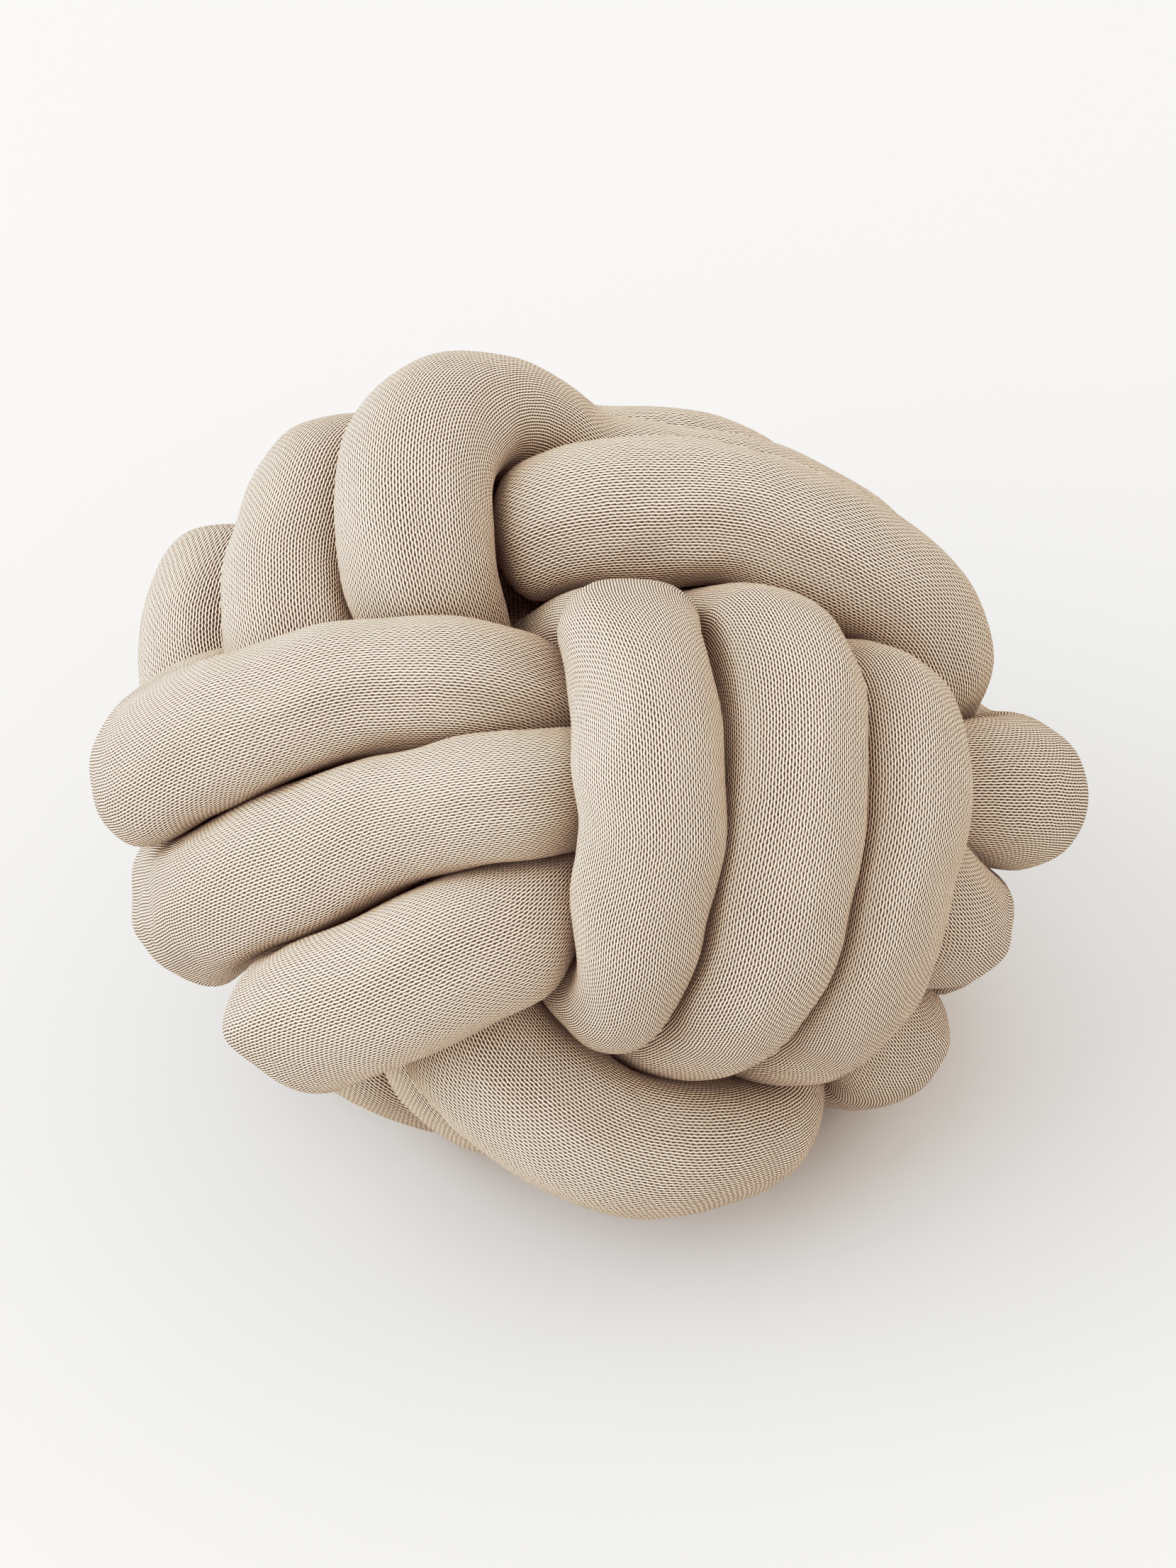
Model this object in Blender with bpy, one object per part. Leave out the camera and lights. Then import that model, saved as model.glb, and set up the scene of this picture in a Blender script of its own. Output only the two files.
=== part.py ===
"""Knot cushion: one stuffed tube of knitted cloth, tied in a fist knot of three rings of three turns.

Metres, +Z up. The cushion stands at the origin and its front looks along -Y and up.
"""

import math
from collections import namedtuple

import bmesh
import bpy
import numpy as np
from mathutils.bvhtree import BVHTree

MM = 0.001
NAME = "knotted_tube"
KNIT_COLOUR = (0.62, 0.53, 0.42)

# The tube: its width, its drawn length, and the sections and corners of its surface.
TUBE = 46.5 * MM
ROPE_LENGTH = 110 * TUBE
SECTIONS = 420
SIDES = 14

# The knot: how far a ring reaches over and under its neighbours, and how square its corners are.
OVER_REACH = 2.35 * TUBE
UNDER_REACH = 1.40 * TUBE
CORNER_FULLNESS = 2.6
RING_STEP = 15
HALF_SIZE = np.array([2.80, 2.38, 2.60]) * TUBE

# How the knot is turned in front view, and how its front is turned up from the floor.
TURN_TO_RIGHT = math.radians(33)
LEAN_BACK = math.radians(10)
FRONT_ELEVATION = math.radians(46)
SIDE_TILT = math.radians(1.5)
FLAT_DEPTH = 8 * MM

# Drawing tight: distances between middle lines, and the share of each move that is made in a round.
SIDE_PITCH = 0.92 * TUBE
CROSSING_PITCH = 0.84 * TUBE
NEXT_STRAND = 1.5 * TUBE
ROUNDS = 500
SLIDE_EVERY = 10
DRAW_IN = 0.02
PUSH_APART = 1.3
STRAIGHTEN = 0.10
EVEN_CURVE = 0.25
ROUTE_PULL = 0.12
BEND_PULL = 0.26
PRESS_IN = 0.15
SHARE_OUT = 0.35

# Cross-sections: gaps, the hardness of a pressed face's edge, and the most that a pressed tube spreads.
SEAM_GAP = 0.8 * MM
GAP = 0.4 * MM
PRESS = 12
MOST_SPREAD = 1.12
SPREAD_ROUNDS = 4
BEND_ROOM = 0.8
NEIGHBOUR_REACH = 2.5 * TUBE
NEIGHBOUR_STEP = 0.25
LEAST_FACING = 0.05
PARTING_ROUNDS = 40
PARTING_STEP = 0.3 * MM

# The knot has six faces. Each ring lies on top on two of them and dives under its neighbour on two:
# the axis it reaches far along, the axis it reaches less far along, and the axis it is wound round.
# Axes 0, 1 and 2 point out of the left, right and top faces. A sign says which end a ring starts from.
Ring = namedtuple("Ring", "far near wound far_sign near_sign")
RINGS = {
    "top": Ring(2, 0, 1, 1, -1),
    "right": Ring(1, 2, 0, -1, -1),
    "left": Ring(0, 1, 2, -1, 1),
}

# Degrees travelled round a ring start at 0 on an outer face. Rings follow each other along the rope.
RING_START = {"top": 0, "right": 2000, "left": 4000}

# How far a ring is shifted along the axis it is wound round, in tubes, by degrees travelled.
SHIFTS = {
    "top": (
        (-30, 0.92), (180, 0.95), (270, 0.6), (360, 0), (540, 0), (630, -0.1), (720, -0.92), (990, -1.1),
    ),
    "right": (
        (-30, 0.95), (180, 0.92), (270, 0.8), (360, 0.1), (540, 0), (630, -0.1), (720, -0.8), (990, -0.92),
    ),
    "left": (
        (0, 0.92), (180, 0.92), (270, 0.7), (360, 0), (540, 0), (630, -0.2), (720, -0.92), (990, -0.85),
    ),
}

# Where the rope isn't on a ring, in tubes out of the left, right and top faces.
Link = namedtuple("Link", "at left right top")
START_TUCK = (
    Link(-85, 0.40, -0.20, 0.10),
    Link(-65, 1.00, -0.20, 0.70),
    Link(-45, 1.45, 0.10, 1.30),
    Link(-30, 1.50, 0.60, 1.90),
)
OVER_THE_START = (
    Link(285, 1.75, 0.50, 0.30),
    Link(297, 2.20, 0.50, 0.90),
    Link(312, 2.50, 0.55, 1.60),
    Link(327, 2.30, 0.55, 2.40),
    Link(340, 1.60, 0.35, 2.95),
    Link(352, 0.80, 0.10, 2.75),
)
TOP_TO_RIGHT = (
    Link(1020, 2.00, -1.40, 1.20),
    Link(1035, 1.75, -1.75, 1.60),
    Link(1050, 1.30, -2.20, 1.50),
)
RIGHT_TO_LEFT = (
    Link(3010, -1.00, -1.20, 1.50),
    Link(3030, -1.30, -1.95, 1.40),
    Link(3050, -1.90, -2.10, 1.15),
)
END_TUCK = (
    Link(5000, -0.50, -0.90, -0.70),
    Link(5020, -0.30, -0.30, -0.50),
)

# The routes of the front's strands between two places on the rope, seen square on: mm right and up.
Route = namedtuple("Route", "first last points")
ROUTES = (
    Route(-45, 70, ((-28, 78), (3, 83), (31, 81), (57, 76), (73, 69), (88, 60), (99, 44), (99, 31))),
    Route(130, 230, ((-20, -92), (-6, -101), (9, -107), (21, -109), (34, -106), (46, -98), (53, -90))),
    Route(250, 345, ((-47, 51), (-50, 66), (-52, 84), (-49, 99), (-37, 108), (-26, 106), (-10, 91))),
    Route(335, 420, ((8, 84), (23, 85), (50, 82), (64, 76), (76, 68))),
    Route(500, 600, ((-40, -80), (-35, -83))),
    Route(610, 700, ((-88, 47), (-89, 62), (-90, 77), (-81, 88), (-67, 89))),
    Route(860, 960, ((-53, -79), (-47, -81))),
    Route(970, 2000, ((-115, 34), (-113, 49), (-105, 61))),
    Route(2130, 2240, ((17, 27), (19, 1), (18, -19), (15, -42))),
    Route(2215, 2260, ((10, 33), (-2, 32))),
    Route(2490, 2600, ((62, 21), (64, 1), (60, -29), (52, -55))),
    Route(2610, 2660, ((52, 36), (42, 38), (28, 40))),
    Route(2850, 2960, ((91, 5), (93, -17), (89, -39), (81, -55))),
    Route(2978, 3002, ((84, 17), (71, 22), (58, 28))),
    Route(3940, 4005, ((79, 27), (90, 17), (100, 8), (110, 0))),
    Route(4120, 4240, ((-120, 9), (-98, 19), (-69, 27), (-37, 29), (-17, 25), (-8, 21))),
    Route(4480, 4600, ((-106, -31), (-98, -27), (-69, -15), (-45, -8), (-27, -5), (-6, -3))),
    Route(4840, 4960, ((-82, -68), (-64, -62), (-45, -55), (-27, -48), (-6, -40))),
)

# The bends at the knot's rim and where strands dive: the way each bend points, and its place in mm.
Bend = namedtuple("Bend", "first last right up across height")
BENDS = (
    Bend(0, 90, 1.0, 0.3, 99, 36),
    Bend(120, 240, 0.0, -1.0, 21, -109),
    Bend(270, 360, -0.3, 1.0, -40, 109),
    Bend(335, 450, 0.3, 1.0, 45, 83),
    Bend(480, 600, -0.5, -0.8, -30, -85),
    Bend(630, 720, -0.3, 1.0, -77, 89),
    Bend(840, 960, -0.4, -0.9, -50, -81),
    Bend(970, 2010, -1.0, 0.0, -116, 45),
    Bend(990, 2010, -0.4, 0.9, -107, 60),
    Bend(2090, 2180, 0.0, -1.0, 4, -52),
    Bend(2180, 2270, 0.0, 1.0, 12, 33),
    Bend(2450, 2540, 0.0, -1.0, 30, -65),
    Bend(2540, 2640, 0.0, 1.0, 50, 32),
    Bend(2810, 2900, 0.0, -1.0, 62, -68),
    Bend(2900, 2990, 0.0, 1.0, 83, 17),
    Bend(2850, 2960, 1.0, 0.0, 93, -17),
    Bend(4000, 4090, 1.0, 0.0, 130, -4),
    Bend(4180, 4270, -1.0, 0.0, -132, 1),
    Bend(4360, 4450, 1.0, 0.0, 102, -43),
    Bend(4540, 4630, -1.0, 0.0, -112, -35),
    Bend(4720, 4810, 1.0, -0.2, 85, -74),
    Bend(4900, 4990, -1.0, -0.2, -91, -71),
)


def knot_axes():
    """Rows point out of the left, right and top faces, as right, up and towards the viewer."""
    turn = np.array([
        [-math.cos(TURN_TO_RIGHT), 0, math.sin(TURN_TO_RIGHT)],
        [math.sin(TURN_TO_RIGHT), 0, math.cos(TURN_TO_RIGHT)],
        [0, 1, 0],
    ])
    cosine, sine = math.cos(LEAN_BACK), math.sin(LEAN_BACK)
    lean = np.array([[1, 0, 0], [0, cosine, -sine], [0, sine, cosine]])
    return turn @ lean


def ring_run(name, first, last):
    """Points along one ring, a rounded oblong that shifts sideways from turn to turn."""
    ring = RINGS[name]
    travelled = np.arange(first, last + 1, RING_STEP)
    angle = np.radians(travelled)
    far = np.abs(np.cos(angle) / OVER_REACH) ** CORNER_FULLNESS
    near = np.abs(np.sin(angle) / UNDER_REACH) ** CORNER_FULLNESS
    reach = (far + near) ** (-1 / CORNER_FULLNESS)
    points = np.zeros((len(travelled), 3))
    points[:, ring.far] = ring.far_sign * reach * np.cos(angle)
    points[:, ring.near] = ring.near_sign * reach * np.sin(angle)
    points[:, ring.wound] = np.interp(travelled, *zip(*SHIFTS[name])) * TUBE
    return RING_START[name] + travelled, points


def link_run(links):
    table = np.array(links)
    return table[:, 0], table[:, 1:] * TUBE


def resample(points, travelled, count):
    lengths = np.linalg.norm(np.diff(points, axis=0), axis=1)
    along = np.concatenate([[0], np.cumsum(lengths)])
    even = np.linspace(0, along[-1], count)
    columns = [np.interp(even, along, column) for column in points.T]
    return np.stack(columns, axis=1), np.interp(even, along, travelled), along[-1]


def tied_rope():
    """The rope's middle line loosely tied, in front view, with the degrees travelled at each section."""
    runs = (
        link_run(START_TUCK),
        ring_run("top", -15, 270),
        link_run(OVER_THE_START),
        ring_run("top", 360, 1005),
        link_run(TOP_TO_RIGHT),
        ring_run("right", -30, 980),
        link_run(RIGHT_TO_LEFT),
        ring_run("left", -30, 990),
        link_run(END_TUCK),
    )
    travelled = np.concatenate([run[0] for run in runs])
    points = np.concatenate([run[1] for run in runs])
    return resample(points @ knot_axes(), travelled, SECTIONS)


def keep_apart(points, spacing):
    """Moves that part strands nearer than their pitch, which is wider side by side than at a crossing."""
    count = len(points)
    offsets = points[:, None, :] - points[None, :, :]
    distance = np.sqrt(np.einsum("ijk,ijk->ij", offsets, offsets)) + 1e-9
    heading = np.gradient(points, axis=0)
    heading /= np.linalg.norm(heading, axis=1)[:, None]
    pitch = CROSSING_PITCH + (SIDE_PITCH - CROSSING_PITCH) * np.abs(heading @ heading.T)
    order = np.arange(count)
    along = np.abs(order[:, None] - order[None, :]) * spacing
    push = np.where((along > NEXT_STRAND) & (distance < pitch), (pitch - distance) / 2, 0)
    total = np.maximum(push.sum(axis=1), 1e-9)
    return np.einsum("ij,ijk->ik", push**2 / distance, offsets) / total[:, None]


def stiffness(points):
    """Moves that straighten the rope a little and keep its curve even."""
    curve = np.zeros_like(points)
    curve[1:-1] = (points[:-2] + points[2:]) / 2 - points[1:-1]
    change = np.zeros_like(points)
    change[1:-1] = (curve[:-2] + curve[2:]) / 2 - curve[1:-1]
    return STRAIGHTEN * curve - EVEN_CURVE * change


def pull(moves, points, index, target, strength, reach):
    """Adds a pull of one place on the rope towards a target in front view, fading along the rope."""
    for step in range(-reach, reach + 1):
        if 0 <= index + step < len(points):
            fade = math.cos(math.pi / 2 * step / (reach + 1)) ** 2
            moves[index + step, :2] += strength * fade * (target - points[index, :2])


def guide(points, travelled):
    """Moves that bring the front strands onto their routes and the rim's bends to their places."""
    moves = np.zeros_like(points)
    for route in ROUTES:
        window = np.flatnonzero((travelled >= route.first) & (travelled <= route.last))
        for target in np.array(route.points) * MM:
            nearest = np.argmin(((points[window, :2] - target) ** 2).sum(axis=1))
            pull(moves, points, window[nearest], target, ROUTE_PULL, 2)
    for bend in BENDS:
        window = np.flatnonzero((travelled >= bend.first) & (travelled <= bend.last))
        furthest = np.argmax(points[window, :2] @ (bend.right, bend.up))
        target = np.array((bend.across, bend.height)) * MM
        pull(moves, points, window[furthest], target, BEND_PULL, 3)
    return moves


def hold_in(points):
    """Moves that bring back what lies outside the knot's rounded outline."""
    reach = np.linalg.norm(points / HALF_SIZE, axis=1)
    return -PRESS_IN * points * np.maximum(1 - 1 / reach, 0)[:, None]


def share_length(points, spacing):
    """Brings each two neighbouring sections to the same distance, in place."""
    for first in (0, 1, 0, 1, 0, 1):
        start = np.arange(first, len(points) - 1, 2)
        gap = points[start + 1] - points[start]
        length = np.linalg.norm(gap, axis=1)[:, None]
        shift = SHARE_OUT * (length - spacing) / length * gap
        points[start] += shift
        points[start + 1] -= shift


def drawn_tight(points, travelled, length):
    """The tied rope drawn in until its strands press on each other."""
    spacing = length / SECTIONS
    for turn in range(ROUNDS):
        spacing += DRAW_IN * (ROPE_LENGTH / SECTIONS - spacing)
        points = points + PUSH_APART * keep_apart(points, spacing) + stiffness(points)
        points += guide(points, travelled) + hold_in(points)
        share_length(points, spacing)
        if turn % SLIDE_EVERY == 0:
            points, travelled, _ = resample(points, travelled, SECTIONS)
    return points, travelled


def section_frames(points):
    """Two directions across the rope at each section, carried along it without twisting."""
    heading = np.gradient(points, axis=0)
    heading /= np.linalg.norm(heading, axis=1)[:, None]
    across = np.zeros_like(points)
    across[0] = np.cross(heading[0], (0, 0, 1))
    for index in range(1, len(points)):
        across[index] = across[index - 1] - heading[index] * (across[index - 1] @ heading[index])
        across[index] /= np.linalg.norm(across[index])
    return across, np.cross(heading, across)


def spokes(points, sides):
    """Unit directions from each section's middle to the corners of its rim."""
    across, other = section_frames(points)
    angle = np.arange(sides)[None, :, None] * 2 * math.pi / sides
    return np.cos(angle) * across[:, None, :] + np.sin(angle) * other[:, None, :]


def room_between_strands(points, directions, length):
    """How far each rim corner may reach before it meets the plane halfway to another strand."""
    count = len(points)
    order = np.arange(0, count - 1, NEIGHBOUR_STEP)
    fine = np.stack([np.interp(order, np.arange(count), column) for column in points.T], axis=1)
    room = np.full(directions.shape[:2], TUBE)
    for index in range(count):
        apart = fine - points[index]
        distance = np.linalg.norm(apart, axis=1)
        along = np.abs(order - index) * length / count
        near = (along > NEXT_STRAND) & (distance < NEIGHBOUR_REACH)
        facing = directions[index] @ (apart[near] / distance[near, None]).T
        limit = (distance[near] - SEAM_GAP) / 2 / np.maximum(facing, LEAST_FACING)
        room[index] = np.minimum(room[index], limit.min(axis=1))
    return room


def room_in_bends(points, directions):
    """How far each rim corner may reach into a bend before the sections there would cross."""
    spacing = np.linalg.norm(np.diff(points, axis=0), axis=1).mean()
    curve = np.zeros_like(points)
    curve[1:-1] = (points[:-2] + points[2:] - 2 * points[1:-1]) / spacing**2
    inward = np.einsum("ijk,ik->ij", directions, curve)
    return BEND_ROOM / np.maximum(inward, 1e-3)


def even_out(radii):
    """Each radius averaged with its four neighbours on the tube."""
    rows = np.pad(radii, ((1, 1), (0, 0)), mode="edge")
    around = np.roll(radii, 1, axis=1) + np.roll(radii, -1, axis=1)
    return (2 * radii + rows[:-2] + rows[2:] + around) / 6


def rim_radii(points, directions, length):
    """Radii of every section: round where the tube is free, flat where strands press on each other."""
    room = room_between_strands(points, directions, length)
    room = np.minimum(room, room_in_bends(points, directions))
    full = np.full((len(points), 1), TUBE / 2)
    for _ in range(SPREAD_ROUNDS):
        radii = (full**-PRESS + room**-PRESS) ** (-1 / PRESS)
        area = (radii**2).mean(axis=1, keepdims=True)
        full = full * (TUBE / 2 / np.sqrt(area)) ** 0.5
        full = np.clip(full, TUBE / 2, MOST_SPREAD * TUBE / 2)
        full = even_out(np.repeat(full, 3, axis=1))[:, :1]
    radii = (full**-PRESS + room**-PRESS) ** (-1 / PRESS)
    radii = np.minimum(even_out(even_out(radii)), room)
    to_end = np.minimum(np.arange(len(points)), np.arange(len(points))[::-1]) * length / len(points)
    rounding = np.sqrt(1 - np.clip(1 - to_end / (TUBE / 2), 0, 1) ** 2)
    return radii * rounding[:, None]


def part_faces(points, directions, radii):
    """Draws in the rims wherever the tube's surface would come within the gap of itself."""
    count = len(points)
    side = np.arange(SIDES)
    after = (side + 1) % SIDES
    first = np.arange(count - 1)[:, None] * SIDES
    corners = (first + side, first + after, first + SIDES + after, first + SIDES + side)
    faces = np.stack(corners, axis=2).reshape(-1, 4)
    halves = np.concatenate([faces[:, [0, 1, 2]], faces[:, [0, 2, 3]]])
    for _ in range(PARTING_ROUNDS):
        surface = points[:, None, :] + (radii + GAP / 2)[:, :, None] * directions
        tree = BVHTree.FromPolygons(surface.reshape(-1, 3).tolist(), halves.tolist())
        pairs = np.array(tree.overlap(tree), dtype=int).reshape(-1, 2)
        rows = halves[pairs].min(axis=2) // SIDES
        meeting = pairs[np.abs(rows[:, 0] - rows[:, 1]) > 1]
        if len(meeting) == 0:
            break
        touched = np.unique(halves[meeting])
        radii.reshape(-1)[touched] -= PARTING_STEP
    return radii


def stand_on_floor(points):
    """Turns points from front view to the way the cushion lies, its lowest bends flattened on z = 0."""
    cosine, sine = math.cos(FRONT_ELEVATION), math.sin(FRONT_ELEVATION)
    lying = points @ np.array([[1, 0, 0], [0, sine, cosine], [0, -cosine, sine]])
    cosine, sine = math.cos(SIDE_TILT), math.sin(SIDE_TILT)
    lying = lying @ np.array([[cosine, 0, sine], [0, 1, 0], [-sine, 0, cosine]])
    low, high = lying.min(axis=0), lying.max(axis=0)
    lying -= ((low[0] + high[0]) / 2, (low[1] + high[1]) / 2, low[2] + FLAT_DEPTH)
    lying[:, 2] = np.maximum(lying[:, 2], 0)
    return lying


def tube_mesh(points, rims):
    """A closed tube through its rims, drawn to a point at both ends."""
    mesh = bpy.data.meshes.new(NAME)
    net = bmesh.new()
    rows = [[net.verts.new(corner) for corner in rim] for rim in rims]
    for row, following in zip(rows, rows[1:]):
        for side in range(SIDES):
            after = (side + 1) % SIDES
            net.faces.new((row[side], row[after], following[after], following[side]))
    for tip, row, outward in ((points[0], rows[0], -1), (points[-1], rows[-1], 1)):
        pole = net.verts.new(tip)
        for side in range(SIDES):
            after = (side + outward) % SIDES
            net.faces.new((row[side], row[after], pole))
    bmesh.ops.recalc_face_normals(net, faces=net.faces)
    net.to_mesh(mesh)
    net.free()
    mesh.shade_smooth()
    return mesh


def knit_material():
    material = bpy.data.materials.new("beige_knit")
    material.use_nodes = True
    shader = material.node_tree.nodes["Principled BSDF"]
    shader.inputs["Base Color"].default_value = (*KNIT_COLOUR, 1)
    shader.inputs["Roughness"].default_value = 0.95
    shader.inputs["Metallic"].default_value = 0
    return material


def knot_cushion(collection):
    loose, travelled, length = tied_rope()
    points, travelled = drawn_tight(loose, travelled, length)
    points, _, length = resample(points, travelled, SECTIONS)
    directions = spokes(points, SIDES)
    radii = part_faces(points, directions, rim_radii(points, directions, length))
    rims = points[:, None, :] + radii[:, :, None] * directions
    everything = np.concatenate([points, rims[1:-1].reshape(-1, 3)])
    lying = stand_on_floor(everything)
    ends = lying[[0, SECTIONS - 1]]
    mesh = tube_mesh(ends, lying[SECTIONS:].reshape(SECTIONS - 2, SIDES, 3))
    cushion = bpy.data.objects.new(NAME, mesh)
    mesh.materials.append(knit_material())
    collection.objects.link(cushion)


def main():
    for old in list(bpy.data.objects):
        bpy.data.objects.remove(old, do_unlink=True)
    collection = bpy.data.collections.new("knot_cushion")
    bpy.context.scene.collection.children.link(collection)
    knot_cushion(collection)


main()
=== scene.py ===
import math
from collections import namedtuple

import bpy
import numpy as np
from mathutils import Matrix, Vector


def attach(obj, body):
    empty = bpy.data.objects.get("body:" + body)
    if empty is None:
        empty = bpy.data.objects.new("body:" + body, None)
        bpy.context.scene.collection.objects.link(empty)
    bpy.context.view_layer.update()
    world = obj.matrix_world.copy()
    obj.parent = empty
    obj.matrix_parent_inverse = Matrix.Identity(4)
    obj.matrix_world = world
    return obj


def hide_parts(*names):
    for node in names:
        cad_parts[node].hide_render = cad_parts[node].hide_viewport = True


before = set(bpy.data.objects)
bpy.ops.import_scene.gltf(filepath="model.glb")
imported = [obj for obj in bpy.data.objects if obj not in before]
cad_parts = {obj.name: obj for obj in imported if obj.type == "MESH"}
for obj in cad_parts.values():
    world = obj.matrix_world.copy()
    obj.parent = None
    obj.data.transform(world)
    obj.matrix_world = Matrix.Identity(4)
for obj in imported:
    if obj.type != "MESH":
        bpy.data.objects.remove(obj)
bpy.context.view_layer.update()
print("frame loaded")

mm = 0.001
tubeWidth = 46.5 * mm

rope = {
    "length": 110 * tubeWidth,  # the rope is drawn in towards this length
    "sections": 420,
    "overReach": 2.35 * tubeWidth,  # how far a ring reaches over one neighbour
    "underReach": 1.40 * tubeWidth,  # and under the other
    "cornerFullness": 2.6,
    "ringStep": 15,
    "halfSize": np.array([2.80, 2.38, 2.60]) * tubeWidth,
    "turnToRight": math.radians(33),
    "leanBack": math.radians(10),
    "sidePitch": 0.92 * tubeWidth,  # between the middle lines of strands side by side
    "crossingPitch": 0.84 * tubeWidth,
    "nextStrand": 1.5 * tubeWidth,  # nearer than this along the rope is the same strand
    "rounds": 500,
    "slideEvery": 10,
    "sharings": 3,  # how often a round evens out the spacing of the sections
    "routeReach": 2,  # how many sections to each side a pull takes along
    "bendReach": 3,
    "apartAtLeast": 1e-9,  # keeps a division from being by nothing
    "drawIn": 0.02,  # this and the ones below are shares of a move made in one round
    "pushApart": 1.3,
    "straighten": 0.10,
    "evenCurve": 0.25,
    "routePull": 0.12,
    "bendPull": 0.26,
    "pressIn": 0.15,
    "shareOut": 0.35,
}
skin = {
    "seamGap": 0.8 * mm,
    "hardness": 12,  # of the edge of a pressed face
    "mostSpread": 1.12,  # how much wider a pressed section may get
    "spreadRounds": 4,
    "spreadStep": 0.5,
    "bendRoom": 0.8,  # how much of the way to a bend's centre the rim may fill
    "leastCurve": 1e-3,  # a straighter rope counts as curved by this
    "neighbourReach": 2.5 * tubeWidth,
    "neighbourStep": 0.25,
    "leastFacing": 0.05,
    "sides": 56,
    "finer": 4,  # rows of the mesh for each section
    "lump": 0.5 * mm,  # how uneven the filling is
    "lumpSizes": (18 * mm, 25.5 * mm, 33 * mm, 40.5 * mm),
    "lumpWaves": 9,
    "lumpTurns": np.array([1.7, 2.3, 2.9]),  # how the parts of a wave's direction turn from wave to wave
    "lumpStarts": np.array([0, math.pi / 2, 1]),
    "lumpShift": 1.3,
}
pose = {
    "frontElevation": math.radians(46),
    "sideTilt": math.radians(1.5),
    "flatDepth": 8 * mm,
}

# The knot has six faces. Each ring lies on top on two of them and dives under its neighbour on two:
# the axis it reaches far along, the axis it reaches less far along, and the axis it is wound round.
# Axes 0, 1 and 2 point out of the left, right and top faces. A sign says which end a ring starts from.
Ring = namedtuple("Ring", "far near wound farSign nearSign")
rings = {
    "top": Ring(2, 0, 1, 1, -1),
    "right": Ring(1, 2, 0, -1, -1),
    "left": Ring(0, 1, 2, -1, 1),
}

# Degrees travelled round a ring start at 0 on an outer face. Rings follow each other along the rope.
ringStart = {"top": 0, "right": 2000, "left": 4000}

# How far a ring is shifted along the axis it is wound round, in tubes, by degrees travelled.
shifts = {
    "top": (
        (-30, 0.92), (180, 0.95), (270, 0.6), (360, 0), (540, 0), (630, -0.1), (720, -0.92), (990, -1.1),
    ),
    "right": (
        (-30, 0.95), (180, 0.92), (270, 0.8), (360, 0.1), (540, 0), (630, -0.1), (720, -0.8), (990, -0.92),
    ),
    "left": (
        (0, 0.92), (180, 0.92), (270, 0.7), (360, 0), (540, 0), (630, -0.2), (720, -0.92), (990, -0.85),
    ),
}

# Where the rope isn't on a ring, in tubes out of the left, right and top faces.
Link = namedtuple("Link", "at left right top")
startTuck = (
    Link(-85, 0.40, -0.20, 0.10),
    Link(-65, 1.00, -0.20, 0.70),
    Link(-45, 1.45, 0.10, 1.30),
    Link(-30, 1.50, 0.60, 1.90),
)
overTheStart = (
    Link(285, 1.75, 0.50, 0.30),
    Link(297, 2.20, 0.50, 0.90),
    Link(312, 2.50, 0.55, 1.60),
    Link(327, 2.30, 0.55, 2.40),
    Link(340, 1.60, 0.35, 2.95),
    Link(352, 0.80, 0.10, 2.75),
)
topToRight = (
    Link(1020, 2.00, -1.40, 1.20),
    Link(1035, 1.75, -1.75, 1.60),
    Link(1050, 1.30, -2.20, 1.50),
)
rightToLeft = (
    Link(3010, -1.00, -1.20, 1.50),
    Link(3030, -1.30, -1.95, 1.40),
    Link(3050, -1.90, -2.10, 1.15),
)
endTuck = (
    Link(5000, -0.50, -0.90, -0.70),
    Link(5020, -0.30, -0.30, -0.50),
)

# The routes of the front's strands between two places on the rope, seen square on: mm right and up.
Route = namedtuple("Route", "first last points")
routes = (
    Route(-45, 70, ((-28, 78), (3, 83), (31, 81), (57, 76), (73, 69), (88, 60), (99, 44), (99, 31))),
    Route(130, 230, ((-20, -92), (-6, -101), (9, -107), (21, -109), (34, -106), (46, -98), (53, -90))),
    Route(250, 345, ((-47, 51), (-50, 66), (-52, 84), (-49, 99), (-37, 108), (-26, 106), (-10, 91))),
    Route(335, 420, ((8, 84), (23, 85), (50, 82), (64, 76), (76, 68))),
    Route(500, 600, ((-40, -80), (-35, -83))),
    Route(610, 700, ((-88, 47), (-89, 62), (-90, 77), (-81, 88), (-67, 89))),
    Route(860, 960, ((-53, -79), (-47, -81))),
    Route(970, 2000, ((-115, 34), (-113, 49), (-105, 61))),
    Route(2130, 2240, ((17, 27), (19, 1), (18, -19), (15, -42))),
    Route(2215, 2260, ((10, 33), (-2, 32))),
    Route(2490, 2600, ((62, 21), (64, 1), (60, -29), (52, -55))),
    Route(2610, 2660, ((52, 36), (42, 38), (28, 40))),
    Route(2850, 2960, ((91, 5), (93, -17), (89, -39), (81, -55))),
    Route(2978, 3002, ((84, 17), (71, 22), (58, 28))),
    Route(3940, 4005, ((79, 27), (90, 17), (100, 8), (110, 0))),
    Route(4120, 4240, ((-120, 9), (-98, 19), (-69, 27), (-37, 29), (-17, 25), (-8, 21))),
    Route(4480, 4600, ((-106, -31), (-98, -27), (-69, -15), (-45, -8), (-27, -5), (-6, -3))),
    Route(4840, 4960, ((-82, -68), (-64, -62), (-45, -55), (-27, -48), (-6, -40))),
)

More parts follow.
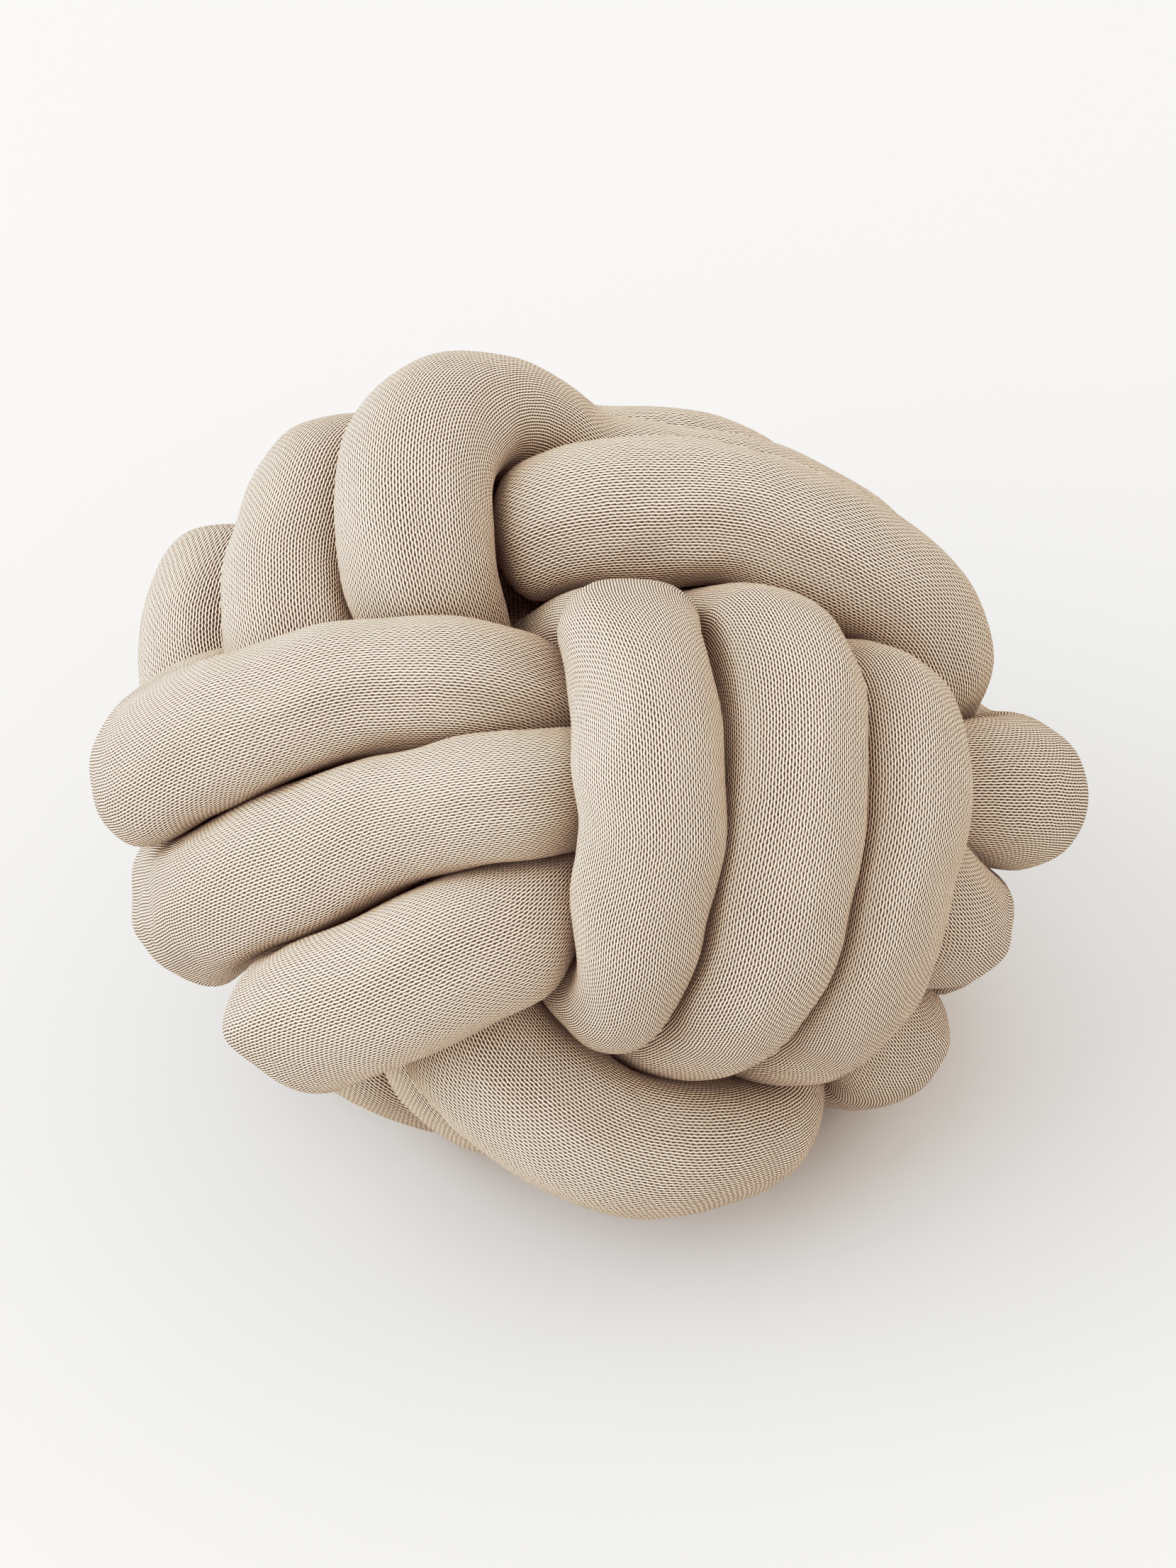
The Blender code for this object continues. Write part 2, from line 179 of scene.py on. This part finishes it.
# The bends at the knot's rim and where strands dive: the way each bend points, and its place in mm.
Bend = namedtuple("Bend", "first last right up across height")
bends = (
    Bend(0, 90, 1.0, 0.3, 99, 36),
    Bend(120, 240, 0.0, -1.0, 21, -109),
    Bend(270, 360, -0.3, 1.0, -40, 109),
    Bend(335, 450, 0.3, 1.0, 45, 83),
    Bend(480, 600, -0.5, -0.8, -30, -85),
    Bend(630, 720, -0.3, 1.0, -77, 89),
    Bend(840, 960, -0.4, -0.9, -50, -81),
    Bend(970, 2010, -1.0, 0.0, -116, 45),
    Bend(990, 2010, -0.4, 0.9, -107, 60),
    Bend(2090, 2180, 0.0, -1.0, 4, -52),
    Bend(2180, 2270, 0.0, 1.0, 12, 33),
    Bend(2450, 2540, 0.0, -1.0, 30, -65),
    Bend(2540, 2640, 0.0, 1.0, 50, 32),
    Bend(2810, 2900, 0.0, -1.0, 62, -68),
    Bend(2900, 2990, 0.0, 1.0, 83, 17),
    Bend(2850, 2960, 1.0, 0.0, 93, -17),
    Bend(4000, 4090, 1.0, 0.0, 130, -4),
    Bend(4180, 4270, -1.0, 0.0, -132, 1),
    Bend(4360, 4450, 1.0, 0.0, 102, -43),
    Bend(4540, 4630, -1.0, 0.0, -112, -35),
    Bend(4720, 4810, 1.0, -0.2, 85, -74),
    Bend(4900, 4990, -1.0, -0.2, -91, -71),
)

# Small listed moves of the drawn knot: a place in front view, then how far it goes right and up, in mm.
nudges = (
    # the upright strands
    (13.4, 64.3, -2.3, -2.3), (-10.2, 47.2, 0.9, -1.8), (34.2, 54.1, -1.4, 0),
    (-9.7, 33.3, 3.7, -4.2), (-5.1, 14.8, 0, -4.6), (-1.8, -3.7, -1.8, -0.9),
    (-6.5, -22.2, 1.4, 1.4), (-7.4, -40.7, 2.3, 0.9), (-15.7, -67, 2.8, 1.8), (6, -81.4, 1.4, 0),
    (19.9, -77.7, -1.8, 0), (42.1, 33.3, -3.2, 0), (45.8, 14.8, -4.6, 0), (46.7, -3.7, -5.1, 0),
    (44.4, -22.2, -3.7, 0), (41.1, -40.7, -2.8, 0), (36.1, -59.2, -4.2, 0), (32.8, -68.4, -5.5, 0),
    (82.8, 33.3, -2.8, 0), (89.2, 14.8, -4.2, 0), (87.8, -3.7, -2.8, 0), (83.7, -22.2, -0.9, 0),
    (80, -40.7, 0, 0), (73.5, -59.2, 0, 0), (62.9, -77.7, -2.3, 0.5), (33.7, -89.7, 1.4, 0),
    (117, 14.8, -3.7, 0), (118.3, -3.7, -3.2, 0), (118.3, -22.2, -4.2, 0), (116, -40.7, -5.1, 0.9),
    (110.5, -59.2, -6.9, 2.8), (99.9, -80, -7.4, 6.9), (82.8, -92.9, -2.3, 5.5),
    (68.9, -94.8, 2.3, 4.6), (51.3, -87.8, 0.9, 0.9),
    # the knob at the right rim, which stays, and the lowest strand
    (150.7, -1.8, 0, 0), (68.4, -107.7, 3.7, 2.3), (57.3, -118.8, 4.2, 1.4),
    (37.9, -129.4, 0.9, 0.5), (18.5, -131.3, 0, 0),
    # the level strands
    (-132.2, -19.4, -0.5, -0.5), (-122, -16.6, 0, 1.8), (-108.2, -10.6, 0, 4.2),
    (-92, -4.2, 0, 4.6), (-75.8, 3.2, 0, 3.2), (-57.3, 12, 0, -0.5), (-38.8, 18.5, 0, -3.2),
    (-20.3, 22.2, 0, -5.5), (-122, 32.8, 0, 3.2), (-103.1, 42.1, -0.5, 0.9), (-71.7, 50.9, 0, -1.4),
    (-53.2, 54.1, 0.5, -3.2), (-37.4, 54.6, 0, -3.7), (-23.1, 51.8, 0, -3.7), (-150.7, 6, 0, 0),
    (-139.6, -32.8, 2.8, -1.8), (-131.3, -51.8, 1.4, 0.9), (-115.6, -60.6, 1.4, -0.5),
    (-101.2, -53.6, -0.5, 0), (-75.8, -41.6, 0, 0), (-57.3, -35.6, 0, 2.8), (-38.8, -30.5, 0, 3.7),
    (-20.3, -24.5, 0, 1.8), (-104, -69.3, -5.5, -1.8), (-100.8, -82.3, -4.6, 0),
    (-87.4, -91.5, -0.9, -0.5), (-66.6, -86.9, 0, -1.8), (-25, -72.1, 0, 2.3),
)
nudging = {
    "reach": 21 * mm,  # how far from its place a move is felt
    "begins": -40 * mm,  # the depth in front view where the moves begin
    "whole": 10 * mm,  # and the one in front of which they are whole
}


# Rows point out of the left, right and top faces, as right, up and towards the viewer.
def knotAxes():
    turn = np.array([
        [-math.cos(rope["turnToRight"]), 0, math.sin(rope["turnToRight"])],
        [math.sin(rope["turnToRight"]), 0, math.cos(rope["turnToRight"])],
        [0, 1, 0],
    ])
    cosine, sine = math.cos(rope["leanBack"]), math.sin(rope["leanBack"])
    lean = np.array([[1, 0, 0], [0, cosine, -sine], [0, sine, cosine]])
    return turn @ lean


# Points along one ring, a rounded oblong that shifts sideways from turn to turn.
def ringRun(name, first, last):
    ring = rings[name]
    travelled = np.arange(first, last + 1, rope["ringStep"])
    angle = np.radians(travelled)
    far = np.abs(np.cos(angle) / rope["overReach"]) ** rope["cornerFullness"]
    near = np.abs(np.sin(angle) / rope["underReach"]) ** rope["cornerFullness"]
    reach = (far + near) ** (-1 / rope["cornerFullness"])
    points = np.zeros((len(travelled), 3))
    points[:, ring.far] = ring.farSign * reach * np.cos(angle)
    points[:, ring.near] = ring.nearSign * reach * np.sin(angle)
    points[:, ring.wound] = np.interp(travelled, *zip(*shifts[name])) * tubeWidth
    return ringStart[name] + travelled, points


def linkRun(links):
    table = np.array(links)
    return table[:, 0], table[:, 1:] * tubeWidth


def resample(points, travelled, count):
    lengths = np.linalg.norm(np.diff(points, axis=0), axis=1)
    along = np.concatenate([[0], np.cumsum(lengths)])
    even = np.linspace(0, along[-1], count)
    columns = [np.interp(even, along, column) for column in points.T]
    return np.stack(columns, axis=1), np.interp(even, along, travelled), along[-1]


# The rope's middle line loosely tied, in front view, with the degrees travelled at each section.
def tiedRope():
    runs = (
        linkRun(startTuck),
        ringRun("top", -15, 270),
        linkRun(overTheStart),
        ringRun("top", 360, 1005),
        linkRun(topToRight),
        ringRun("right", -30, 980),
        linkRun(rightToLeft),
        ringRun("left", -30, 990),
        linkRun(endTuck),
    )
    travelled = np.concatenate([run[0] for run in runs])
    points = np.concatenate([run[1] for run in runs])
    return resample(points @ knotAxes(), travelled, rope["sections"])


# Moves that part strands nearer than their pitch, which is wider side by side than at a crossing.
def keepApart(points, spacing):
    count = len(points)
    offsets = points[:, None, :] - points[None, :, :]
    distance = np.sqrt(np.einsum("ijk,ijk->ij", offsets, offsets)) + rope["apartAtLeast"]
    heading = np.gradient(points, axis=0)
    heading /= np.linalg.norm(heading, axis=1)[:, None]
    sideBySide = np.abs(heading @ heading.T)
    pitch = rope["crossingPitch"] + (rope["sidePitch"] - rope["crossingPitch"]) * sideBySide
    order = np.arange(count)
    along = np.abs(order[:, None] - order[None, :]) * spacing
    push = np.where((along > rope["nextStrand"]) & (distance < pitch), (pitch - distance) / 2, 0)
    total = np.maximum(push.sum(axis=1), rope["apartAtLeast"])
    return np.einsum("ij,ijk->ik", push**2 / distance, offsets) / total[:, None]


# Moves that straighten the rope a little and keep its curve even.
def stiffness(points):
    curve = np.zeros_like(points)
    curve[1:-1] = (points[:-2] + points[2:]) / 2 - points[1:-1]
    change = np.zeros_like(points)
    change[1:-1] = (curve[:-2] + curve[2:]) / 2 - curve[1:-1]
    return rope["straighten"] * curve - rope["evenCurve"] * change


# Adds a pull of one place on the rope towards a target in front view, fading along the rope.
def pull(moves, points, index, target, strength, reach):
    for step in range(-reach, reach + 1):
        if 0 <= index + step < len(points):
            fade = math.cos(math.pi / 2 * step / (reach + 1)) ** 2
            moves[index + step, :2] += strength * fade * (target - points[index, :2])


# Moves that bring the front strands onto their routes and the rim's bends to their places.
def guide(points, travelled):
    moves = np.zeros_like(points)
    for route in routes:
        window = np.flatnonzero((travelled >= route.first) & (travelled <= route.last))
        for target in np.array(route.points) * mm:
            nearest = np.argmin(((points[window, :2] - target) ** 2).sum(axis=1))
            pull(moves, points, window[nearest], target, rope["routePull"], rope["routeReach"])
    for bend in bends:
        window = np.flatnonzero((travelled >= bend.first) & (travelled <= bend.last))
        furthest = np.argmax(points[window, :2] @ (bend.right, bend.up))
        target = np.array((bend.across, bend.height)) * mm
        pull(moves, points, window[furthest], target, rope["bendPull"], rope["bendReach"])
    return moves


# Moves that bring back what lies outside the knot's rounded outline.
def holdIn(points):
    reach = np.linalg.norm(points / rope["halfSize"], axis=1)
    return -rope["pressIn"] * points * np.maximum(1 - 1 / reach, 0)[:, None]


# Brings each two neighbouring sections to the same distance, in place.
def shareLength(points, spacing):
    for first in (0, 1) * rope["sharings"]:
        start = np.arange(first, len(points) - 1, 2)
        gap = points[start + 1] - points[start]
        length = np.linalg.norm(gap, axis=1)[:, None]
        shift = rope["shareOut"] * (length - spacing) / length * gap
        points[start] += shift
        points[start + 1] -= shift


# The tied rope drawn in until its strands press on each other.
def drawnTight(points, travelled, length):
    spacing = length / rope["sections"]
    for turn in range(rope["rounds"]):
        spacing += rope["drawIn"] * (rope["length"] / rope["sections"] - spacing)
        points = points + rope["pushApart"] * keepApart(points, spacing) + stiffness(points)
        points += guide(points, travelled) + holdIn(points)
        shareLength(points, spacing)
        if turn % rope["slideEvery"] == 0:
            points, travelled, _ = resample(points, travelled, rope["sections"])
    return points, travelled


# Two directions across the rope at each section, carried along it without twisting.
def sectionFrames(points):
    heading = np.gradient(points, axis=0)
    heading /= np.linalg.norm(heading, axis=1)[:, None]
    across = np.zeros_like(points)
    across[0] = np.cross(heading[0], (0, 0, 1))
    for index in range(1, len(points)):
        across[index] = across[index - 1] - heading[index] * (across[index - 1] @ heading[index])
        across[index] /= np.linalg.norm(across[index])
    return across, np.cross(heading, across)


# Unit directions from each section's middle to the corners of its rim.
def spokes(points, sides):
    across, other = sectionFrames(points)
    angle = np.arange(sides)[None, :, None] * 2 * math.pi / sides
    return np.cos(angle) * across[:, None, :] + np.sin(angle) * other[:, None, :]


# How far each rim corner may reach before it meets the plane halfway to another strand.
def roomBetweenStrands(points, directions, length):
    count = len(points)
    order = np.arange(0, count - 1, skin["neighbourStep"])
    fine = np.stack([np.interp(order, np.arange(count), column) for column in points.T], axis=1)
    room = np.full(directions.shape[:2], tubeWidth)
    for index in range(count):
        apart = fine - points[index]
        distance = np.linalg.norm(apart, axis=1)
        along = np.abs(order - index) * length / count
        near = (along > rope["nextStrand"]) & (distance < skin["neighbourReach"])
        facing = directions[index] @ (apart[near] / distance[near, None]).T
        limit = (distance[near] - skin["seamGap"]) / 2 / np.maximum(facing, skin["leastFacing"])
        room[index] = np.minimum(room[index], limit.min(axis=1))
    return room


# How far each rim corner may reach into a bend before the sections there would cross.
def roomInBends(points, directions):
    spacing = np.linalg.norm(np.diff(points, axis=0), axis=1).mean()
    curve = np.zeros_like(points)
    curve[1:-1] = (points[:-2] + points[2:] - 2 * points[1:-1]) / spacing**2
    inward = np.einsum("ijk,ik->ij", directions, curve)
    return skin["bendRoom"] / np.maximum(inward, skin["leastCurve"])


# Each radius averaged with its four neighbours on the tube.
def evenOut(radii):
    rows = np.pad(radii, ((1, 1), (0, 0)), mode="edge")
    around = np.roll(radii, 1, axis=1) + np.roll(radii, -1, axis=1)
    return (2 * radii + rows[:-2] + rows[2:] + around) / 6


# Radii of every section: round where the tube is free, flat where strands press on each other.
def rimRadii(points, directions, length):
    room = roomBetweenStrands(points, directions, length)
    room = np.minimum(room, roomInBends(points, directions))
    full = np.full((len(points), 1), tubeWidth / 2)
    for _ in range(skin["spreadRounds"]):
        radii = (full**-skin["hardness"] + room**-skin["hardness"]) ** (-1 / skin["hardness"])
        area = (radii**2).mean(axis=1, keepdims=True)
        full = full * (tubeWidth / 2 / np.sqrt(area)) ** skin["spreadStep"]
        full = np.clip(full, tubeWidth / 2, skin["mostSpread"] * tubeWidth / 2)
        full = evenOut(np.repeat(full, 3, axis=1))[:, :1]  # three alike, to even out along the tube alone
    radii = (full**-skin["hardness"] + room**-skin["hardness"]) ** (-1 / skin["hardness"])
    radii = np.minimum(evenOut(evenOut(radii)), room)
    toEnd = np.minimum(np.arange(len(points)), np.arange(len(points))[::-1]) * length / len(points)
    rounding = np.sqrt(1 - np.clip(1 - toEnd / (tubeWidth / 2), 0, 1) ** 2)
    return radii * rounding[:, None]


# The turn from front view to the way the cushion lies, with its front turned up from the floor.
def lyingTurn():
    cosine, sine = math.cos(pose["frontElevation"]), math.sin(pose["frontElevation"])
    raised = np.array([[1, 0, 0], [0, sine, cosine], [0, -cosine, sine]])
    cosine, sine = math.cos(pose["sideTilt"]), math.sin(pose["sideTilt"])
    return raised @ np.array([[cosine, 0, sine], [0, 1, 0], [-sine, 0, cosine]])


# Points of the front view as they lie, the lowest bends flattened on z = 0.
def standOnFloor(points):
    lying = points @ lyingTurn()
    low, high = lying.min(axis=0), lying.max(axis=0)
    lying -= ((low[0] + high[0]) / 2, (low[1] + high[1]) / 2, low[2] + pose["flatDepth"])
    lying[:, 2] = np.maximum(lying[:, 2], 0)
    return lying


# Rows of a surface with more rows between them, on smooth curves through the given ones.
def withFinerRows(rows, steps):
    before = 2 * rows[:1] - rows[1:2]
    after = 2 * rows[-1:] - rows[-2:-1]
    rows = np.concatenate([before, rows, after])
    a, b, c, d = rows[:-3], rows[1:-2], rows[2:-1], rows[3:]
    between = []
    for step in range(steps):
        t = step / steps
        slope = (c - a) * t
        curve = (2 * a - 5 * b + 4 * c - d) * t**2
        between.append(b + (slope + curve + (3 * b - a - 3 * c + d) * t**3) / 2)
    fine = np.stack(between, axis=1).reshape(-1, *rows.shape[1:])
    return np.concatenate([fine, rows[-2:-1]])


# Soft lumps of the filling, as waves that run over the tube in a few directions.
def lumps(surface):
    total = np.zeros(surface.shape[:-1])
    for wave in range(skin["lumpWaves"]):
        direction = np.sin(skin["lumpTurns"] * wave + skin["lumpStarts"])
        size = skin["lumpSizes"][wave % len(skin["lumpSizes"])]
        total += np.sin(surface @ direction * 2 * math.pi / size + skin["lumpShift"] * wave)
    return total / math.sqrt(skin["lumpWaves"])


# How strongly places in front view feel a move that is made at each of the centres, from 0 to 1.
def nearness(places, centres):
    gaps = places[..., None, :] - centres
    return np.exp(-(gaps**2).sum(axis=-1) / nudging["reach"] ** 2)


# Moves the strands in front, so that each place in the table of moves goes as far as it says.
def nudgeFront(surface):
    table = np.array(nudges) * mm
    centres, moves = table[:, :2], table[:, 2:]
    shares = np.linalg.solve(nearness(centres, centres), moves)
    depth = (surface[..., 2:] - nudging["begins"]) / (nudging["whole"] - nudging["begins"])
    depth = np.clip(depth, 0, 1)
    inFront = depth**2 * (3 - 2 * depth)
    surface[..., :2] += inFront * (nearness(surface[..., :2], centres) @ shares)


# The tube's surface as it lies: rows of points round it, and the middle of the front view.
def tubeSurface():
    loose, travelled, length = tiedRope()
    points, travelled = drawnTight(loose, travelled, length)
    points, _, length = resample(points, travelled, rope["sections"])
    directions = spokes(points, skin["sides"])
    radii = rimRadii(points, directions, length)
    surface = points[:, None, :] + radii[:, :, None] * directions
    surface += (skin["lump"] * lumps(surface) * (radii > 0))[:, :, None] * directions
    fine = withFinerRows(surface, skin["finer"])
    nudgeFront(fine)
    everything = np.concatenate([fine.reshape(-1, 3), np.zeros((1, 3))])
    lying = standOnFloor(everything)
    return lying[:-1].reshape(fine.shape), lying[-1]


# How far along the tube each row lies, measured on the side that faces away from the knot.
def outerLength(surface):
    centres = surface.mean(axis=1)
    outward = surface - centres[:, None]
    facing = np.maximum(np.einsum("ijk,ik->ij", outward, centres - centres.mean(axis=0)), 0) ** 2
    steps = np.linalg.norm(np.diff(surface, axis=0), axis=2)
    weight = facing[:-1] + facing[1:]
    return np.concatenate([[0], np.cumsum((steps * weight).sum(axis=1) / weight.sum(axis=1))])


# The share of the way round the tube at each point of each row, and at the first one again.
def shareRound(surface):
    steps = np.linalg.norm(np.roll(surface, -1, axis=1) - surface, axis=2)
    share = np.cumsum(steps, axis=1) / steps.sum(axis=1, keepdims=True)
    share = np.concatenate([np.zeros((len(surface), 1)), share], axis=1)
    even = np.linspace(0, 1, surface.shape[1] + 1)
    return share - (share - even).mean(axis=1, keepdims=True)


def tubeMesh(surface):
    rows, sides = surface.shape[:2]
    corner = np.arange(rows * sides).reshape(rows, sides)
    after = np.roll(corner, -1, axis=1)
    quads = np.stack([corner[:-1], after[:-1], after[1:], corner[1:]], axis=2).reshape(-1, 4)
    mesh = bpy.data.meshes.new("tube")
    mesh.from_pydata(surface.reshape(-1, 3).tolist(), [], quads.tolist())
    # The knit's own coordinates: columns of stitches round the tube, rows of stitches along it.
    side = np.tile(np.arange(sides), (rows - 1, 1))
    row = np.tile(np.arange(rows - 1)[:, None], (1, sides))
    rowOfCorner = np.stack([row, row, row + 1, row + 1], axis=2)
    sideOfCorner = np.stack([side, side + 1, side + 1, side], axis=2)
    around = shareRound(surface)[rowOfCorner, sideOfCorner] * knit["columns"]
    stitches = outerLength(surface)[rowOfCorner] / knit["rowHeight"]
    knitPlace = np.stack([around, stitches], axis=3)
    mesh.uv_layers.new(name="knit").uv.foreach_set("vector", knitPlace.astype(np.float32).ravel())
    addBakeMap(mesh, sideOfCorner / sides, rowOfCorner)
    mesh.shade_smooth()
    return mesh


# A second map lays the tube out flat in strips one above another, with nothing overlapping.
def addBakeMap(mesh, columns, rowOfCorner):
    strips = knit["bakeStrips"]
    rowsInStrip = math.ceil(len(rowOfCorner) / strips)
    strip = np.arange(len(rowOfCorner)) // rowsInStrip
    across = (rowOfCorner - (strip * rowsInStrip)[:, None, None]) / rowsInStrip
    margin = knit["bakeMargin"]
    place = np.stack([
        margin + across * (1 - 2 * margin),
        (strip[:, None, None] + margin * strips + columns * (1 - 2 * margin * strips)) / strips,
    ], axis=3)
    mesh.uv_layers.new(name="OFBake").uv.foreach_set("vector", place.astype(np.float32).ravel())


# A shader value: an expression on it adds Math nodes.
class Value:
    def __init__(self, shader, socket):
        self.shader = shader
        self.socket = socket

    def maths(self, operation, *others):
        numbers = dict(enumerate((self, *others)))
        return self.shader.node("ShaderNodeMath", {"operation": operation}, numbers)

    def __add__(self, other):
        return self.maths("ADD", other)

    def __sub__(self, other):
        return self.maths("SUBTRACT", other)

    def __mul__(self, other):
        return self.maths("MULTIPLY", other)

    def __rsub__(self, other):
        return self.shader.node("ShaderNodeMath", {"operation": "SUBTRACT"}, {0: other, 1: self})

    __radd__ = __add__
    __rmul__ = __mul__


class Shader:
    def __init__(self, name):
        self.material = bpy.data.materials.new(name)
        self.material.use_nodes = True
        self.tree = self.material.node_tree
        self.surface = self.tree.nodes["Principled BSDF"]

    def put(self, socket, value):
        if isinstance(value, Value):
            self.tree.links.new(value.socket, socket)
        else:
            socket.default_value = value

    def node(self, kind, settings=None, inputs=None, output=0):
        made = self.tree.nodes.new(kind)
        for name, value in (settings or {}).items():
            setattr(made, name, value)
        for place, value in (inputs or {}).items():
            self.put(made.inputs[place], value)
        return Value(self, made.outputs[output])

    def ease(self, value, low, high, fromValue=0.0, toValue=1.0):
        return self.node("ShaderNodeMapRange", {"interpolation_type": "SMOOTHSTEP"}, {
            "Value": value, "From Min": low, "From Max": high, "To Min": fromValue, "To Max": toValue,
        })

    def noise(self, place, scale, detail=2.0):
        return self.node("ShaderNodeTexNoise", {}, {"Vector": place, "Scale": scale, "Detail": detail})

    def mixColour(self, factor, first, second):
        settings = {"data_type": "RGBA"}
        return self.node("ShaderNodeMix", settings, {0: factor, 6: first, 7: second}, output=2)

    def finish(self, inputs):
        for place, value in inputs.items():
            self.put(self.surface.inputs[place], value)
        return self.material


knit = {
    "columns": 76,
    "rowHeight": 2.15 * mm,
    "lean": 0.10,  # how far a stitch's legs sway out and in, in columns' half widths
    "swing": 0.35,  # how much quicker they come in than they go out
    "legHalf": 0.335,
    "middlePits": 0.5,  # how much deeper the pits in a column's middle are
    "depth": 0.65 * mm,
    "middleDips": (1.0, 2.0),  # the dips at which they start to deepen and are deepest
    "wander": 0.2,  # how far stitches stray from their places, in stitches
    "wanderScales": (160.0, 190.0),  # of the straying across and along
    "pitHeights": (-0.7, 0.9),  # the heights where the painted pit shade is deepest and where it ends
    "fuzz": (0.94, 1.0),  # the least and the most of the painted pit shade that shows through the fuzz
    "fuzzScale": 60.0,
    "fuzzDetail": 3.0,
    "fuzzEdges": (0.3, 0.7),
    # The yarn's own colour, then the painted shade of the pits between stitches, nearly black.
    "light": (0.93, 0.79, 0.655, 1),
    "paintedPitShade": (0.02, 0.009, 0.004, 1),
    "roughness": 0.95,
    "specular": 0.2,
    "sheen": 0.5,
    "sheenRoughness": 0.3,
    "sheenTint": (1.0, 0.94, 0.87, 1),
    "bakeStrips": 6,
    "bakeMargin": 0.002,
}


def knitMaterial():
    shader = Shader("beigeKnit")
    place = shader.node("ShaderNodeUVMap", {"uv_map": "knit"})
    solid = shader.node("ShaderNodeTexCoord", {}, {}, output="Object")
    column = shader.node("ShaderNodeSeparateXYZ", {}, {0: place}, output=0)
    row = shader.node("ShaderNodeSeparateXYZ", {}, {0: place}, output=1)
    column = column + (shader.noise(solid, knit["wanderScales"][0]) - 0.5) * knit["wander"] * 2
    row = row + (shader.noise(solid, knit["wanderScales"][1]) - 0.5) * knit["wander"] * 2
    outward = (column.maths("FRACT") - 0.5).maths("ABSOLUTE") * 2  # 0 in a column's middle, 1 at its edge
    turn = row * (2 * math.pi)
    sway = (turn.maths("SINE") + (turn * 2).maths("SINE") * knit["swing"]) * knit["lean"]
    offLeg = (outward - 0.5 - sway) * (1 / knit["legHalf"])
    dip = offLeg * offLeg
    deeper = (1 - outward) * knit["middlePits"] * shader.ease(dip, *knit["middleDips"])
    height = 1 - dip - deeper
    patches = shader.noise(solid, knit["fuzzScale"], knit["fuzzDetail"])
    veil = shader.ease(patches, *knit["fuzzEdges"], *knit["fuzz"])
    # Painted shade: the pits between stitches are coloured near black for the shade that falls in them.
    pitShadeMask = (1 - shader.ease(height, *knit["pitHeights"])) * veil
    colour = shader.mixColour(pitShadeMask, knit["light"], knit["paintedPitShade"])
    bump = shader.node("ShaderNodeBump", {}, {"Strength": 1.0, "Distance": knit["depth"], "Height": height})
    return shader.finish({
        "Base Color": colour,
        "Normal": bump,
        "Roughness": knit["roughness"],
        "Sheen Weight": knit["sheen"],
        "Sheen Roughness": knit["sheenRoughness"],
        "Sheen Tint": knit["sheenTint"],
        "Specular IOR Level": knit["specular"],
    })


def makeCushion():
    surface, middle = tubeSurface()
    cushion = bpy.data.objects.new("knottedTubeKnit", tubeMesh(surface))
    bpy.context.scene.collection.objects.link(cushion)
    cushion.data.materials.append(knitMaterial())
    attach(cushion, "root")
    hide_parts("knotted_tube")
    return middle


studio = {
    "floorSize": 30.0,
    "floorColour": (0.615, 0.617, 0.615, 1),
    "floorRoughness": 0.9,
    "floorSpecular": 0.1,
    "keyFrom": Vector((-3.9, -1.6, 3.8)),
    "keySize": 6.0,
    "keyPower": 256.0,
    "keyColour": (0.97, 0.985, 1.0),
    "fillColour": (1.0, 0.96, 0.92, 1),
    "fill": 1.16,
    # How light is shown: of each colour alone, then of the three together.
    "redTones": ((0.02, 0.035), (0.08, 0.095), (0.2, 0.21)),
    "greenTones": ((0.12, 0.116), (0.4, 0.395), (0.75, 0.76)),
    "blueTones": ((0.1, 0.09), (0.3, 0.289), (0.55, 0.555), (0.8, 0.81)),
    "tones": ((0.1, 0.075), (0.21, 0.215), (0.33, 0.43), (0.45, 0.61), (0.58, 0.73), (0.9, 0.92)),
    "lens": 600,
    "sensor": 36,
    "frameHeight": 478.5 * mm,  # what the view shows from top to bottom, at the cushion's middle
}


def makeFloor():
    half = studio["floorSize"] / 2
    mesh = bpy.data.meshes.new("floor")
    corners = [(-half, -half, 0), (half, -half, 0), (half, half, 0), (-half, half, 0)]
    mesh.from_pydata(corners, [], [(0, 1, 2, 3)])
    floor = bpy.data.objects.new("floor", mesh)
    bpy.context.scene.collection.objects.link(floor)
    mesh.materials.append(Shader("paleFloor").finish({
        "Base Color": studio["floorColour"],
        "Roughness": studio["floorRoughness"],
        "Specular IOR Level": studio["floorSpecular"],
    }))


def makeLights():
    light = bpy.data.lights.new("key", "AREA")
    light.shape = "DISK"
    light.size = studio["keySize"]
    light.energy = studio["keyPower"]
    light.color = studio["keyColour"]
    key = bpy.data.objects.new("key", light)
    key.location = studio["keyFrom"]
    key.rotation_euler = (-studio["keyFrom"]).to_track_quat("-Z", "Y").to_euler()
    bpy.context.scene.collection.objects.link(key)
    world = bpy.data.worlds.new("studio")
    world.use_nodes = True
    world.node_tree.nodes["Background"].inputs["Color"].default_value = studio["fillColour"]
    world.node_tree.nodes["Background"].inputs["Strength"].default_value = studio["fill"]
    bpy.context.scene.world = world


# The camera looks square on at the front view's middle.
def makeCamera(middle):
    right, up, back = np.eye(3) @ lyingTurn()
    camera = bpy.data.cameras.new("camera")
    camera.lens = studio["lens"]
    camera.sensor_width = studio["sensor"]
    distance = studio["frameHeight"] * studio["lens"] / studio["sensor"]
    place = Matrix(np.stack([right, up, back], axis=1).tolist()).to_4x4()
    place.translation = Vector(middle + back * distance)
    viewer = bpy.data.objects.new("camera", camera)
    viewer.matrix_world = place
    bpy.context.scene.collection.objects.link(viewer)
    bpy.context.scene.camera = viewer


# The view shows light on soft curves, which keep the darks deep and the lights pale.
def developPicture():
    view = bpy.context.scene.view_settings
    view.view_transform = "Standard"
    view.use_curve_mapping = True
    names = ("redTones", "greenTones", "blueTones", "tones")
    for curve, tones in zip(view.curve_mapping.curves, names):
        for light, shown in studio[tones]:
            curve.points.new(light, shown)
    view.curve_mapping.update()


middle = makeCushion()
print("cushion made")
makeFloor()
makeLights()
makeCamera(middle)
developPicture()
print("studio made")
